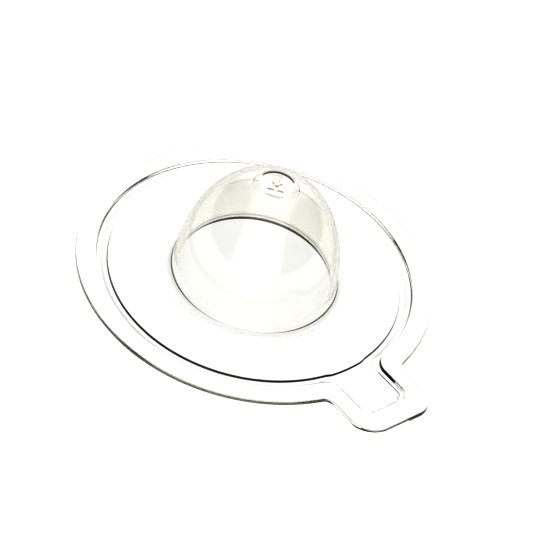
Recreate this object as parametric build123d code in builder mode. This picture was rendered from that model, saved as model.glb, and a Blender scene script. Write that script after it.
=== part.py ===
from build123d import *
import os
from math import sqrt

# A clear sink plunger moulded in one piece from flexible plastic, in millimetres.
# The origin is the disc's centre on the plane that it rests on, +Z runs up the dome
# and +X points to the middle of the grip tab.
# The moulding is divided at its steps and flex lines into zones that touch face to face.

# Driving dimensions
wall = 0.6               # thickness of the gutter, the ledge and the tray's floor
step = 1.65              # height of one step, and the thickness of the web
disc_radius = 80.0
flange_width = 9.4       # disc edge to the flange's inner edge
gutter_width = 4.7       # inner edge of the flange to the foot of the web's edge
seal_land = 1.2          # flat ring of the gutter that touches the sink
edge_draft = 0.4         # how far the web's edge leans over its height
dome_radius = 36.5
dome_thickness = 2.0
dome_height = 57.0       # rest plane to the point of the dome's ellipse
foot_radius = 4.0        # concave flare where the dome meets the web
mouth_radius = 36.2      # edge of the web's opening under the dome
foot_top = 16.0          # top of the stiff lower wall
crown_bottom = 46.0      # bottom of the stiff crown
badge_radius = 9.6
badge_chamfer = 1.8      # width of the badge's sloped edge
badge_rise = 0.95
mark_rise = 0.4
mark_angle = -49.0       # turn of the mark about the dome's axis
mark_bar = (1.1, 7.0)
mark_bar_place = 4.0
mark_shaft = (4.2, 1.5)
mark_head = 2.4          # half width of the arrow's head
mark_head_base = -0.4
mark_head_point = 2.2
tab_reach = 104.0        # disc centre to the tip of the tab
tab_half_width = 19.8
tab_corner = 10.0
tab_root_fillet = 4.5
opening_half_width = 11.9
opening_reach = 93.9
opening_corner = 5.5
opening_root_fillet = 9.0
ledge_width = 1.4        # flat ledge between the tab's inner edge and its tray
tray_lean = 25.0         # degrees that the tray's walls lean outwards
hinge_x = 68.3           # flex line of the tab, along Y
strip_cut_x = 76.2       # where the flange's two strips bend at the tab
flex_gap = 0.4           # space between bodies at the flex line

# Levels of the top surfaces
low_level = wall
mid_level = low_level + step
high_level = mid_level + step
flange_bottom = mid_level - wall
web_level = step

# Radii of the rings
flange_inner_radius = disc_radius - flange_width
web_foot_radius = flange_inner_radius - gutter_width
web_edge_radius = web_foot_radius - edge_draft
land_edge_radius = web_foot_radius + seal_land
ellipse_centre = web_level + foot_radius
ellipse_height = dome_height - ellipse_centre
web_inner_radius = dome_radius + foot_radius
tray_half_width = opening_half_width - ledge_width
tray_reach = opening_reach - ledge_width
tray_root_x = hinge_x + flex_gap

os.makedirs("parts", exist_ok=True)


def outline(radius, half_width, reach, root_fillet, corner):
    """Disc with a tab on its +X side, as one face."""
    with BuildSketch() as face:
        Circle(radius)
        with Locations((reach / 2, 0)):
            Rectangle(reach, 2 * half_width)
        tip_vertices = face.vertices().group_by(Axis.X)[-1]
        fillet(tip_vertices, corner)
        root_vertices = face.vertices().filter_by(
            lambda v: abs(abs(v.Y) - half_width) < 0.01 and v.X < radius)
        fillet(root_vertices, root_fillet)
    return face.sketch


outer_edge = outline(disc_radius, tab_half_width, tab_reach, tab_root_fillet, tab_corner)
inner_edge = outline(flange_inner_radius, opening_half_width, opening_reach,
                     opening_root_fillet, opening_corner)

# The flange is a flat band that follows the edge of the disc and of the tab.
with BuildPart() as rim:
    with BuildSketch(Plane.XY.offset(flange_bottom)):
        add(outer_edge)
        add(inner_edge, mode=Mode.SUBTRACT)
    extrude(amount=high_level - flange_bottom)

# The disc keeps the flange up to the strips' bend.
with BuildPart() as rim_flange:
    add(rim.part)
    split(bisect_by=Plane.YZ.offset(strip_cut_x), keep=Keep.BOTTOM)
rim_flange.part.label = "rim_flange"

# The gutter hangs from the flange's inner edge as a thin sloped skirt, and ends in a
# flat ring that touches the sink. The tab's tray interrupts only the sloped skirt,
# so the flat ring is whole.
with BuildPart() as seal_gutter:
    with BuildSketch(Plane.XZ):
        with BuildLine():
            Polyline(
                (web_foot_radius, low_level),
                (land_edge_radius, low_level),
                (flange_inner_radius, mid_level),
                (flange_inner_radius, flange_bottom),
                (land_edge_radius, 0),
                (web_foot_radius, 0),
                close=True,
            )
        make_face()
    revolve(axis=Axis.Z)
    with BuildSketch(Plane.XY.offset(-step)):
        with Locations((tray_reach, 0)):
            Rectangle(2 * (tray_reach - land_edge_radius), 2 * opening_half_width)
        Circle(land_edge_radius, mode=Mode.SUBTRACT)
    extrude(amount=3 * step, mode=Mode.SUBTRACT)
seal_gutter.part.label = "seal_gutter"

# The web is a solid ring between the gutter and the dome, with a drafted edge.
with BuildPart() as web_plate:
    with BuildSketch(Plane.XZ):
        with BuildLine():
            Polyline(
                (web_inner_radius, 0),
                (web_foot_radius, 0),
                (web_foot_radius, low_level),
                (web_edge_radius, web_level),
                (web_inner_radius, web_level),
                close=True,
            )
        make_face()
    revolve(axis=Axis.Z)
web_plate.part.label = "web_plate"


def dome_band(low, high):
    """Section of the dome's wall between two heights, on the XZ plane."""
    with BuildSketch(Plane.XZ) as band:
        with Locations((0, ellipse_centre)):
            Ellipse(dome_radius, ellipse_height, rotation=180)
            Ellipse(dome_radius - dome_thickness, ellipse_height - dome_thickness,
                    rotation=180, mode=Mode.SUBTRACT)
        with Locations((dome_radius / 2, (low + high) / 2)):
            Rectangle(dome_radius, high - low, mode=Mode.INTERSECT)
    return band.sketch


# The foot carries the dome's wall down to the web in a flare of the same thickness.
foot_thickness = foot_radius + dome_thickness
with BuildPart() as dome_foot:
    with BuildSketch(Plane.XZ):
        with Locations((web_inner_radius, ellipse_centre)):
            Circle(foot_thickness)
            Rectangle(foot_thickness, ellipse_centre, align=(Align.MAX, Align.MAX),
                      mode=Mode.INTERSECT)
        with Locations((web_inner_radius, 0)):
            Rectangle(web_inner_radius - mouth_radius, web_level,
                      align=(Align.MAX, Align.MIN))
        with Locations((web_inner_radius, ellipse_centre)):
            Circle(foot_radius, mode=Mode.SUBTRACT)
        add(dome_band(ellipse_centre, foot_top))
    revolve(axis=Axis.Z)
dome_foot.part.label = "dome_foot"

with BuildPart() as dome_wall:
    add(dome_band(foot_top, crown_bottom))
    revolve(axis=Axis.Z)
dome_wall.part.label = "dome_wall"

with BuildPart() as dome_crown:
    with BuildSketch(Plane.XZ):
        add(dome_band(crown_bottom, dome_height))
        with Locations((badge_radius, crown_bottom)):
            Rectangle(dome_radius, dome_height, align=(Align.MIN, Align.MIN),
                      mode=Mode.INTERSECT)
    revolve(axis=Axis.Z)
dome_crown.part.label = "dome_crown"

def shell_height(radius, inset):
    """Height of the dome's ellipse at a radius, inset by a wall's thickness."""
    flat = radius / (dome_radius - inset)
    return ellipse_centre + (ellipse_height - inset) * sqrt(1 - flat ** 2)


# The badge is a low round table with a sloped edge. Its mark is an arrow over a bar.
badge_base = shell_height(badge_radius, 0)
badge_under = shell_height(badge_radius, dome_thickness)
badge_top = badge_base + badge_rise
badge_flat_radius = badge_radius - badge_chamfer
with BuildPart() as thumb_badge:
    with BuildSketch(Plane.XZ):
        with BuildLine():
            Polyline(
                (0, badge_top),
                (badge_flat_radius, badge_top),
                (badge_radius, badge_base),
                (badge_radius, badge_under),
                (badge_flat_radius, badge_top - dome_thickness),
                (0, badge_top - dome_thickness),
                close=True,
            )
        make_face()
    revolve(axis=Axis.Z)
    with BuildSketch(Plane.XY.offset(badge_top).rotated((0, 0, mark_angle))):
        with Locations((mark_bar_place, 0)):
            Rectangle(*mark_bar)
        with Locations((mark_head_base, 0)):
            Rectangle(*mark_shaft, align=(Align.MAX, Align.CENTER))
        with BuildLine():
            Polyline(
                (mark_head_base, -mark_head),
                (mark_head_point, 0),
                (mark_head_base, mark_head),
                close=True,
            )
        make_face()
    extrude(amount=mark_rise)
thumb_badge.part.label = "thumb_badge"

# The tab keeps its end of the flange, and a thin ledge runs inside its inner edge.
with BuildPart() as tab_frame:
    add(rim.part)
    with BuildSketch(Plane.XY.offset(flange_bottom)):
        add(inner_edge)
        with Locations((tray_reach / 2, 0)):
            Rectangle(tray_reach, 2 * tray_half_width, mode=Mode.SUBTRACT)
    extrude(amount=wall)
    split(bisect_by=Plane.YZ.offset(strip_cut_x + flex_gap), keep=Keep.TOP)
tab_frame.part.label = "tab_frame"

# The tray is a shallow open box with leaning walls. Its floor is level with the gutter.
tray_length = tray_reach - tray_root_x
tray_middle_x = (tray_reach + tray_root_x) / 2
with BuildPart() as tab_tray:
    with BuildSketch(Plane.XY.offset(mid_level)):
        with Locations((tray_middle_x, 0)):
            Rectangle(tray_length, 2 * tray_half_width)
    extrude(amount=-mid_level, taper=tray_lean)
    with BuildSketch(Plane.XY.offset(mid_level)):
        with Locations((tray_middle_x, 0)):
            Rectangle(tray_length - 2 * wall, 2 * (tray_half_width - wall))
    extrude(amount=-step, taper=tray_lean, mode=Mode.SUBTRACT)
tab_tray.part.label = "tab_tray"

for zone in (rim_flange, seal_gutter, web_plate, dome_foot, dome_wall,
             dome_crown, thumb_badge, tab_frame, tab_tray):
    export_step(zone.part, f"parts/{zone.part.label}.step")
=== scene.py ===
import math

import bmesh
import bpy
import numpy as np
from mathutils import Matrix, Vector


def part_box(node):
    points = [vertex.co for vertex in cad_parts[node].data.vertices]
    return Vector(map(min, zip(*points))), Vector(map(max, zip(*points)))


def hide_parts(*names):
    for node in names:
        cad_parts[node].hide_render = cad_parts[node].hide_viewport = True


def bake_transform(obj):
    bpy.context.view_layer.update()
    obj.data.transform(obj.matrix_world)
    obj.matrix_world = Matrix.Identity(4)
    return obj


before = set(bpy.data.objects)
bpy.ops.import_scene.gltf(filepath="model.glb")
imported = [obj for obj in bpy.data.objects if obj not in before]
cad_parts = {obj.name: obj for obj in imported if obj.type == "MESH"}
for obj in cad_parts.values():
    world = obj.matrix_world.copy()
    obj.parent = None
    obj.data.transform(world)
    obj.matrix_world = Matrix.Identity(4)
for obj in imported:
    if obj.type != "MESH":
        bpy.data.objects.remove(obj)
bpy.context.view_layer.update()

DISC_NODES = ("rim_flange", "seal_gutter", "web_plate", "tab_frame", "tab_tray")
DOME_NODES = ("dome_foot", "dome_wall", "dome_crown", "thumb_badge")

# Driving dimensions, in metres. Levels and outer sizes come from the frame's boxes.
MM = 0.001
rim_low, rim_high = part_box("rim_flange")
crown_low, crown_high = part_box("dome_crown")
frame_high, gutter_high, web_high, foot_high, badge_high, tray_high = [
    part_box(node)[1] for node in
    ("tab_frame", "seal_gutter", "web_plate", "dome_foot", "thumb_badge", "tab_tray")]

HIGH = rim_high.z                       # top of the flange
FLANGE_BOTTOM = rim_low.z
MID = gutter_high.z                     # top of the ledge
WALL = MID - FLANGE_BOTTOM              # thin zones: gutter, ledge and tray
LOW = WALL                              # top of the land and of the tray's floor
STEP = HIGH - MID
WEB = web_high.z
BEND = 0.45 * MM                        # rounding of the edges of each step
DRAFT = 0.4 * MM                        # how far the upright steps lean over their height
SKIRT_LEAN = 1.0 * MM                   # the same for the gutter's and the tray's wall

DISC_R = rim_high.y
FLANGE_INNER_R = gutter_high.y
WEB_FOOT_R = web_high.y
FOOT_SHIFT = 0.2 * MM                   # room for the bends at the web's foot
LAND_R = WEB_FOOT_R + 1.2 * MM
TAB_HALF = 19.8 * MM
TAB_REACH = frame_high.x
TAB_CORNER = 10 * MM
TAB_ROOT = 4.5 * MM
OPEN_HALF = 11.9 * MM
OPEN_REACH = 93.9 * MM
OPEN_CORNER = 5.5 * MM
OPEN_ROOT = 9 * MM
LEDGE = 1.4 * MM                        # width of the ledge at the tab
LEDGE_ROOT = OPEN_ROOT - 0.5 * MM
LEDGE_CORNER = OPEN_CORNER - MM
SKIRT_TOP = 0.35 * MM                   # width of the ledge round the disc
TRAY_HALF = tray_high.y - MM
TRAY_REACH = tray_high.x - MM
TRAY_CORNER = 3 * MM
TRAY_ROOT = 7 * MM
RAMP = 1.2 * MM                         # how far the web's foot moves out at the tray
RAMP_HALF_ANGLE = math.radians(8.6)
RAMP_BLEND = math.radians(0.45)

FLARE = 4 * MM
FLARE_R = foot_high.y
SHELL = 2 * MM                          # thickness of the dome
MOUTH_R = 36.2 * MM
SEAM_GAP = 0.01 * MM                    # between the disc's and the dome's meshes
DOME_R = FLARE_R - FLARE
DOME_BASE = WEB + FLARE
BADGE_R = badge_high.y
BADGE_FLAT_R = BADGE_R - 1.8 * MM
BADGE_RISE = 0.95 * MM
POLE_R = 0.1 * MM                       # smallest ring, round the badge's middle point
MARK_RISE = 0.4 * MM

# The press mark, in millimetres, along the arrow's direction and across it
MARK_TURN = math.radians(-49)
MARK_EDGE = 0.5                         # width of the mark's soft edge
BAR_PLACE, BAR_HALF = 4.0, (0.55, 3.5)
SHAFT_PLACE, SHAFT_HALF = -2.2, (2.0, 0.75)
HEAD_BASE, HEAD_POINT, HEAD_HALF = -0.4, 2.2, 2.4
HEAD_SCALE = 0.68                       # turns the head's sloping distance into a square one

SHARP_ANGLE = math.radians(50)

# Columns of the disc: ring, then fillet, side, corner, tip and back
RING_N, FILLET_N, SIDE_N, CORNER_N, TIP_N = 420, 24, 36, 24, 36
DOME_COLUMNS = 300

# Rows of points
EDGE_ROWS = 4                           # up the disc's edge
CORNER_ROWS = 8                         # round the disc's upper edge
FLAT_ROWS = 6                           # across the flange and across the web
FLOOR_ROWS = 10                         # across the gutter and the tray's floor
MOUTH_ROWS = 4                          # along the foot's underside
LIP_ROWS = 5                            # round the mouth's lower edge
FLARE_ROWS = 9
DOME_ROWS = 60
BEND_ROWS = 7                           # round each edge of the badge
BADGE_ROWS = 33

# The photo's view
VIEW_AZIMUTH = math.radians(41.5)
VIEW_ELEVATION = math.radians(43.016)
VIEW_ROLL = math.radians(14.41)
VIEW_PAN = math.radians(-0.2937)
VIEW_TILT = math.radians(-0.0420)
VIEW_DISTANCE = 1.7669
SENSOR = 36
FOCAL = 4000 / 550 * SENSOR


def mix(a, b, t):
    return a + (b - a) * t


def arc(centre, radius, start, end, count):
    t = np.linspace(start, end, count, endpoint=False)
    return np.stack([centre[0] + radius * np.cos(t), centre[1] + radius * np.sin(t)], 1)


def line(start, end, count):
    t = np.linspace(0, 1, count, endpoint=False)[:, None]
    return np.array(start) + (np.array(end) - np.array(start)) * t


def outline(radius, half, reach, root, corner):
    """A disc with a tab on its +X side, whose points keep their order at every size."""
    along = math.sqrt((radius + root) ** 2 - (half + root) ** 2)
    touch = math.atan2(half + root, along)
    quarter = math.pi / 2
    return np.concatenate([
        arc((0, 0), radius, touch, 2 * math.pi - touch, RING_N),
        arc((along, -half - root), root, math.pi - touch, quarter, FILLET_N),
        line((along, -half), (reach - corner, -half), SIDE_N),
        arc((reach - corner, corner - half), corner, -quarter, 0, CORNER_N),
        line((reach, corner - half), (reach, half - corner), TIP_N),
        arc((reach - corner, half - corner), corner, 0, quarter, CORNER_N),
        line((reach - corner, half), (along, half), SIDE_N),
        arc((along, half + root), root, 3 * quarter, math.pi + touch, FILLET_N),
    ])


def outer_edge(grow):
    return outline(DISC_R + grow, TAB_HALF + grow, TAB_REACH + grow,
                   TAB_ROOT - grow, TAB_CORNER + grow)


def opening(grow):
    return outline(FLANGE_INNER_R + grow, OPEN_HALF + grow, OPEN_REACH + grow,
                   OPEN_ROOT - grow, OPEN_CORNER + grow)


def ledge_line():
    """Where the flat ledge ends and the gutter's and the tray's walls start."""
    return outline(FLANGE_INNER_R - SKIRT_TOP, OPEN_HALF - LEDGE, OPEN_REACH - LEDGE,
                   LEDGE_ROOT, LEDGE_CORNER)


def tray_line():
    """Where the gutter's and the tray's walls meet their floor."""
    return outline(LAND_R, TRAY_HALF, TRAY_REACH, TRAY_ROOT, TRAY_CORNER)


def circle(points, radius_at):
    """A closed curve round the disc, with a point for each point of an outline."""
    angles = np.arctan2(points[:, 1], points[:, 0])
    touch = angles[0]
    shares = ((FILLET_N, 0.2), (SIDE_N, 0.1), (CORNER_N, 0.1), (TIP_N, 0.2),
              (CORNER_N, 0.1), (SIDE_N, 0.1), (FILLET_N, 0.2))
    places = []
    done = 0.0
    for count, share in shares:
        places.append(done + share * np.arange(count) / count)
        done += share
    angles[RING_N:] = -touch + 2 * touch * np.concatenate(places)
    radius = radius_at(angles)
    return np.stack([radius * np.cos(angles), radius * np.sin(angles)], 1)


def ring(points, z):
    return np.column_stack([points, np.full(len(points), z)])


def step_down(lean, height, radius, count=6):
    """(across, up) of a flat that bends down a leaning wall and out onto the next flat."""
    turn = math.atan2(height, lean)
    tangent = radius * math.tan(turn / 2)
    bend = [turn * k / count for k in range(count + 1)]
    upper = [(-tangent + radius * math.sin(t), radius * (math.cos(t) - 1)) for t in bend]
    lower = [(lean - a, -height - b) for a, b in reversed(upper)]
    return upper + lower


def between(first, last, count):
    """Curves evenly between two curves, the first one included."""
    return [mix(first, last, k / count) for k in range(count)]


def web_foot(points):
    """Foot of the web's edge. It moves out in front of the tray."""
    def radius_at(angles):
        turn = np.abs((angles + math.pi) % (2 * math.pi) - math.pi)
        return (WEB_FOOT_R + FOOT_SHIFT
                + RAMP / (1 + np.exp((turn - RAMP_HALF_ANGLE) / RAMP_BLEND)))
    return circle(points, radius_at)


def even_circle(points, radius):
    return circle(points, lambda angles: np.full(len(angles), radius))


def flange_rows():
    """Rings of the flange's top and underside, from its outer edge to the inner edge's foot."""
    top = [ring(outer_edge(0), mix(FLANGE_BOTTOM, HIGH - BEND, k / EDGE_ROWS))
           for k in range(EDGE_ROWS)]
    for k in range(CORNER_ROWS):
        t = math.pi / 2 * k / (CORNER_ROWS - 1)
        top.append(ring(outer_edge(-BEND * (1 - math.cos(t))), HIGH - BEND * (1 - math.sin(t))))
    edge = step_down(DRAFT, STEP, BEND)
    inner = opening(DRAFT - edge[0][0])
    top += [ring(c, HIGH) for c in between(outer_edge(-BEND), inner, FLAT_ROWS)[1:]]
    top += [ring(opening(DRAFT - across), HIGH + up) for across, up in edge]
    edge_foot = opening(DRAFT - edge[-1][0])
    under = [ring(c, FLANGE_BOTTOM) for c in between(outer_edge(-BEND), edge_foot, len(top))]
    return top, under, edge_foot


def thin_rows(edge_foot, tray, foot):
    """Rings of the top of the ledge, of the leaning walls and of the floor they end in."""
    ledge = ledge_line()
    skirt = step_down(SKIRT_LEAN, STEP, BEND)
    width = skirt[-1][0] - skirt[0][0]
    rows = [ring(mix(edge_foot, ledge, 0.5), MID)]
    rows += [ring(mix(ledge, tray, (across - skirt[0][0]) / width), MID + up)
             for across, up in skirt]
    return rows + [ring(c, LOW) for c in between(tray, foot, FLOOR_ROWS)[1:]]


def web_rows(tray, foot):
    """Rings of the web's top and underside, from its foot to the seam with the dome."""
    web_top = even_circle(tray, WEB_FOOT_R - DRAFT - FOOT_SHIFT)
    seam = even_circle(tray, FLARE_R)
    edge = step_down(DRAFT, WEB - LOW, BEND)
    width = edge[-1][0] - edge[0][0]
    top = [ring(mix(foot, web_top, (edge[-1][0] - across) / width), WEB + up)
           for across, up in reversed(edge)]
    top += [ring(c, WEB) for c in between(web_top, seam, FLAT_ROWS)[1:]]
    top.append(ring(seam, WEB))
    under = [ring(c, 0) for c in between(foot, seam, len(top) - 1)]
    under.append(ring(seam, 0))
    return top, under


def disc_surfaces():
    """Rings of the top and of the underside, from the flange's edge in to the dome."""
    tray = tray_line()
    foot = web_foot(tray)
    flange_top, flange_under, edge_foot = flange_rows()
    thin_top = thin_rows(edge_foot, tray, foot)
    thin_under = [r - np.array([0, 0, WALL]) for r in thin_top]
    web_top, web_under = web_rows(tray, foot)
    return (np.array(flange_top + thin_top + web_top),
            np.array(flange_under + thin_under + web_under))


def foot_rows():
    """(r, z) of the foot's outer and inner faces, from the seam to the top of the flare."""
    seam = FLARE_R - SEAM_GAP
    reach = FLARE + SHELL
    lip = math.acos((FLARE_R - MOUTH_R) / reach)
    inner = [(seam, 0.0)]
    inner += [(mix(seam, MOUTH_R + BEND, k / MOUTH_ROWS), 0.0) for k in range(1, MOUTH_ROWS)]
    inner += [(MOUTH_R + BEND * (1 - math.sin(t)), BEND * (1 - math.cos(t)))
              for t in np.linspace(0, math.pi / 2, LIP_ROWS)]
    inner += [(FLARE_R - reach * math.cos(t), DOME_BASE - reach * math.sin(t))
              for t in np.linspace(lip, 0, FLARE_ROWS)]
    outer = [(seam, WEB)]
    for k in range(1, len(inner)):
        t = math.radians(270 - 90 * k / (len(inner) - 1))
        outer.append((FLARE_R + FLARE * math.cos(t), DOME_BASE + FLARE * math.sin(t)))
    return outer, inner


def bent_corner(before, corner, after):
    """Points of a small bend that rounds a corner of a profile."""
    start = corner + (before - corner).normalized() * BEND
    end = corner + (after - corner).normalized() * BEND
    points = []
    for k in range(BEND_ROWS):
        t = k / (BEND_ROWS - 1)
        points.append(start * (1 - t) ** 2 + corner * 2 * t * (1 - t) + end * t ** 2)
    return points


def dome_profiles():
    """(r, z) of the dome's outer and inner faces, from the seam up to the badge's middle."""
    height = math.sqrt(1 - (crown_high.y / DOME_R) ** 2)
    rise = (crown_low.z - DOME_BASE) / height
    outer, inner = foot_rows()
    end = math.acos(BADGE_R / DOME_R)
    for k in range(1, DOME_ROWS):
        t = end * k / DOME_ROWS
        outer.append((DOME_R * math.cos(t), DOME_BASE + rise * math.sin(t)))
        inner.append(((DOME_R - SHELL) * math.cos(t), DOME_BASE + (rise - SHELL) * math.sin(t)))

    below = Vector(outer[-1])
    corner = Vector((BADGE_R, DOME_BASE + rise * math.sin(end)))
    flat = Vector((BADGE_FLAT_R, corner.y + BADGE_RISE))
    middle = Vector((0, flat.y))
    badge = [tuple(c) for c in bent_corner(below, corner, flat) + bent_corner(corner, flat, middle)]
    for k in range(1, BADGE_ROWS + 1):
        badge.append((mix(BADGE_FLAT_R - BEND, POLE_R, k / BADGE_ROWS), flat.y))
    outer += badge
    inner += [(r, z - SHELL) for r, z in badge]
    return np.array(outer), np.array(inner)


def away_from_box(x, y, half_x, half_y):
    """Distance outside a box, negative inside."""
    dx, dy = np.abs(x) - half_x, np.abs(y) - half_y
    return np.hypot(np.maximum(dx, 0), np.maximum(dy, 0)) + np.minimum(np.maximum(dx, dy), 0)


def mark_height(x, y):
    """The press mark, an arrow over a bar, raised with soft edges."""
    u = (x * math.cos(MARK_TURN) + y * math.sin(MARK_TURN)) / MM
    v = (y * math.cos(MARK_TURN) - x * math.sin(MARK_TURN)) / MM
    bar = away_from_box(u - BAR_PLACE, v, *BAR_HALF)
    shaft = away_from_box(u - SHAFT_PLACE, v, *SHAFT_HALF)
    slope = (HEAD_POINT - HEAD_BASE) / HEAD_HALF
    barb = (u + np.abs(v) * slope - HEAD_POINT) * HEAD_SCALE
    head = np.maximum(HEAD_BASE - u, barb)
    away = np.minimum(np.minimum(bar, shaft), head)
    t = np.clip(0.5 - away / MARK_EDGE, 0, 1)
    return MARK_RISE * t * t * (3 - 2 * t)


def wall_faces(rows, cols):
    """Quads of the outside grid, of the inside grid and of the band that joins their first rings."""
    count = rows * cols
    faces = []
    for i in range(rows - 1):
        for j in range(cols):
            k = (j + 1) % cols
            a, b, c, d = i * cols + j, i * cols + k, (i + 1) * cols + k, (i + 1) * cols + j
            faces.append((a, b, c, d))
            faces.append((d + count, c + count, b + count, a + count))
    for j in range(cols):
        k = (j + 1) % cols
        faces.append((k, j, j + count, k + count))
    return faces


def body(name, outside, inside, closed):
    """A solid between two grids of rings. A closed one ends in a point at each face."""
    rows, cols = outside.shape[:2]
    count = rows * cols
    verts = np.concatenate([outside.reshape(-1, 3), inside.reshape(-1, 3)])
    faces = wall_faces(rows, cols)
    last = (rows - 1) * cols
    if closed:
        verts = np.concatenate([verts, outside[-1].mean(0)[None], inside[-1].mean(0)[None]])
        for j in range(cols):
            a, b = last + j, last + (j + 1) % cols
            faces.append((a, b, 2 * count))
            faces.append((b + count, a + count, 2 * count + 1))
    else:
        for j in range(cols):
            a, b = last + j, last + (j + 1) % cols
            faces.append((a, b, b + count, a + count))
    mesh = bpy.data.meshes.new(name)
    mesh.from_pydata(verts.tolist(), [], faces)
    bm = bmesh.new()
    bm.from_mesh(mesh)
    bmesh.ops.recalc_face_normals(bm, faces=bm.faces)
    bm.to_mesh(mesh)
    bm.free()
    mesh.shade_smooth()
    mesh.set_sharp_from_angle(angle=SHARP_ANGLE)
    obj = bpy.data.objects.new(name, mesh)
    bpy.context.scene.collection.objects.link(obj)
    return obj


def disc_body():
    top, under = disc_surfaces()
    return body("clear_disc", top, under, False)


def dome_body():
    turn = np.linspace(0, 2 * math.pi, DOME_COLUMNS, endpoint=False)
    outside, inside = [
        np.stack([p[:, :1] * np.cos(turn), p[:, :1] * np.sin(turn), p[:, 1:] + 0 * turn], 2)
        for p in dome_profiles()]
    on_badge = outside[..., 2] > crown_high.z
    outside[..., 2] += mark_height(outside[..., 0], outside[..., 1]) * on_badge
    return body("clear_dome", outside, inside, True)


def clear_plastic(name, density):
    """Clear plastic with a faintly uneven tint and gloss, which darkens long paths inside it."""
    mat = bpy.data.materials.new(name)
    mat.use_nodes = True
    nodes, links = mat.node_tree.nodes, mat.node_tree.links
    bsdf = nodes["Principled BSDF"]
    bsdf.inputs["Transmission Weight"].default_value = 1.0
    bsdf.inputs["IOR"].default_value = 1.5

    coord = nodes.new("ShaderNodeTexCoord")
    noise = nodes.new("ShaderNodeTexNoise")
    noise.inputs["Scale"].default_value = 30
    links.new(coord.outputs["Object"], noise.inputs["Vector"])

    tint = nodes.new("ShaderNodeValToRGB")
    plain, tinted = tint.color_ramp.elements
    plain.position, plain.color = 0.4, (1, 1, 1, 1)
    tinted.position, tinted.color = 0.7, (0.995, 0.995, 0.98, 1)
    links.new(noise.outputs["Fac"], tint.inputs["Fac"])
    links.new(tint.outputs["Color"], bsdf.inputs["Base Color"])

    gloss = nodes.new("ShaderNodeMapRange")
    gloss.inputs["To Min"].default_value = 0.005
    gloss.inputs["To Max"].default_value = 0.015
    links.new(noise.outputs["Fac"], gloss.inputs["Value"])
    links.new(gloss.outputs["Result"], bsdf.inputs["Roughness"])

    absorb = nodes.new("ShaderNodeVolumeAbsorption")
    absorb.inputs["Color"].default_value = (0.72, 0.72, 0.60, 1)
    absorb.inputs["Density"].default_value = density
    links.new(absorb.outputs["Volume"], nodes["Material Output"].inputs["Volume"])
    return mat


def camera():
    """The photo's view: a long lens from the camera's side, rolled a little."""
    data = bpy.data.cameras.new("camera")
    data.sensor_width = SENSOR
    data.lens = FOCAL
    obj = bpy.data.objects.new("camera", data)
    bpy.context.scene.collection.objects.link(obj)
    lean = Matrix.Rotation(math.pi / 2 - VIEW_ELEVATION, 4, "X")
    look = Matrix.Rotation(VIEW_AZIMUTH, 4, "Z") @ lean
    away = Matrix.Translation((0, 0, VIEW_DISTANCE)) @ Matrix.Rotation(VIEW_ROLL, 4, "Z")
    aim = Matrix.Rotation(VIEW_PAN, 4, "Y") @ Matrix.Rotation(VIEW_TILT, 4, "X")
    obj.matrix_world = Matrix.Translation((0, 0, MID)) @ look @ away @ aim
    bpy.context.scene.camera = obj


def floor():
    """A plain pale floor, just below the body's own flat underside."""
    mesh = bpy.data.meshes.new("floor")
    far, low = 3, -0.4 * MM
    corners = [(-far, -far, low), (far, -far, low), (far, far, low), (-far, far, low)]
    mesh.from_pydata(corners, [], [(0, 1, 2, 3)])
    obj = bpy.data.objects.new("floor", mesh)
    bpy.context.scene.collection.objects.link(obj)
    mat = bpy.data.materials.new("floor")
    mat.use_nodes = True
    bsdf = mat.node_tree.nodes["Principled BSDF"]
    bsdf.inputs["Base Color"].default_value = (0.9, 0.9, 0.9, 1)
    bsdf.inputs["Roughness"].default_value = 0.8
    mesh.materials.append(mat)


def studio():
    """A white studio with a dark card on the left and on the right of the camera."""
    bright, dark = 1.6, 0.16
    card_start, card_end = 0.4, 0.7         # share of the view's side axis in a direction
    world = bpy.data.worlds.new("studio")
    bpy.context.scene.world = world
    world.use_nodes = True
    nodes, links = world.node_tree.nodes, world.node_tree.links
    coord = nodes.new("ShaderNodeTexCoord")
    side = nodes.new("ShaderNodeVectorMath")
    side.operation = "DOT_PRODUCT"
    side.inputs[1].default_value = (math.cos(VIEW_AZIMUTH), math.sin(VIEW_AZIMUTH), 0)
    links.new(coord.outputs["Generated"], side.inputs[0])
    away = nodes.new("ShaderNodeMath")
    away.operation = "ABSOLUTE"
    links.new(side.outputs["Value"], away.inputs[0])
    ramp = nodes.new("ShaderNodeMapRange")
    ramp.interpolation_type = "SMOOTHSTEP"
    ramp.inputs["From Min"].default_value = card_start
    ramp.inputs["From Max"].default_value = card_end
    ramp.inputs["To Min"].default_value = bright
    ramp.inputs["To Max"].default_value = dark
    links.new(away.outputs["Value"], ramp.inputs["Value"])
    nodes["Background"].inputs["Color"].default_value = (1, 1, 1, 1)
    links.new(ramp.outputs["Result"], nodes["Background"].inputs["Strength"])


clear_sheet = clear_plastic("clear_sheet", 60)
clear_dome = clear_plastic("clear_dome", 90)
for name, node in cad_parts.items():
    node.data.materials.clear()
    node.data.materials.append(clear_sheet if name in DISC_NODES else clear_dome)

disc = disc_body()
disc.data.materials.append(clear_sheet)
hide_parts(*DISC_NODES)
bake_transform(disc)

dome = dome_body()
dome.data.materials.append(clear_dome)
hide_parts(*DOME_NODES)
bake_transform(dome)

camera()
floor()
studio()

# The floor stays as bright under the clear body as it is beside it.
for piece in (disc, dome):
    piece.visible_shadow = False
    piece.visible_diffuse = False

# A bright studio exposure, with the body's own faint tones held up by the contrast.
view = bpy.context.scene.view_settings
view.view_transform = "Standard"
view.exposure = 0.1
view.gamma = 0.6
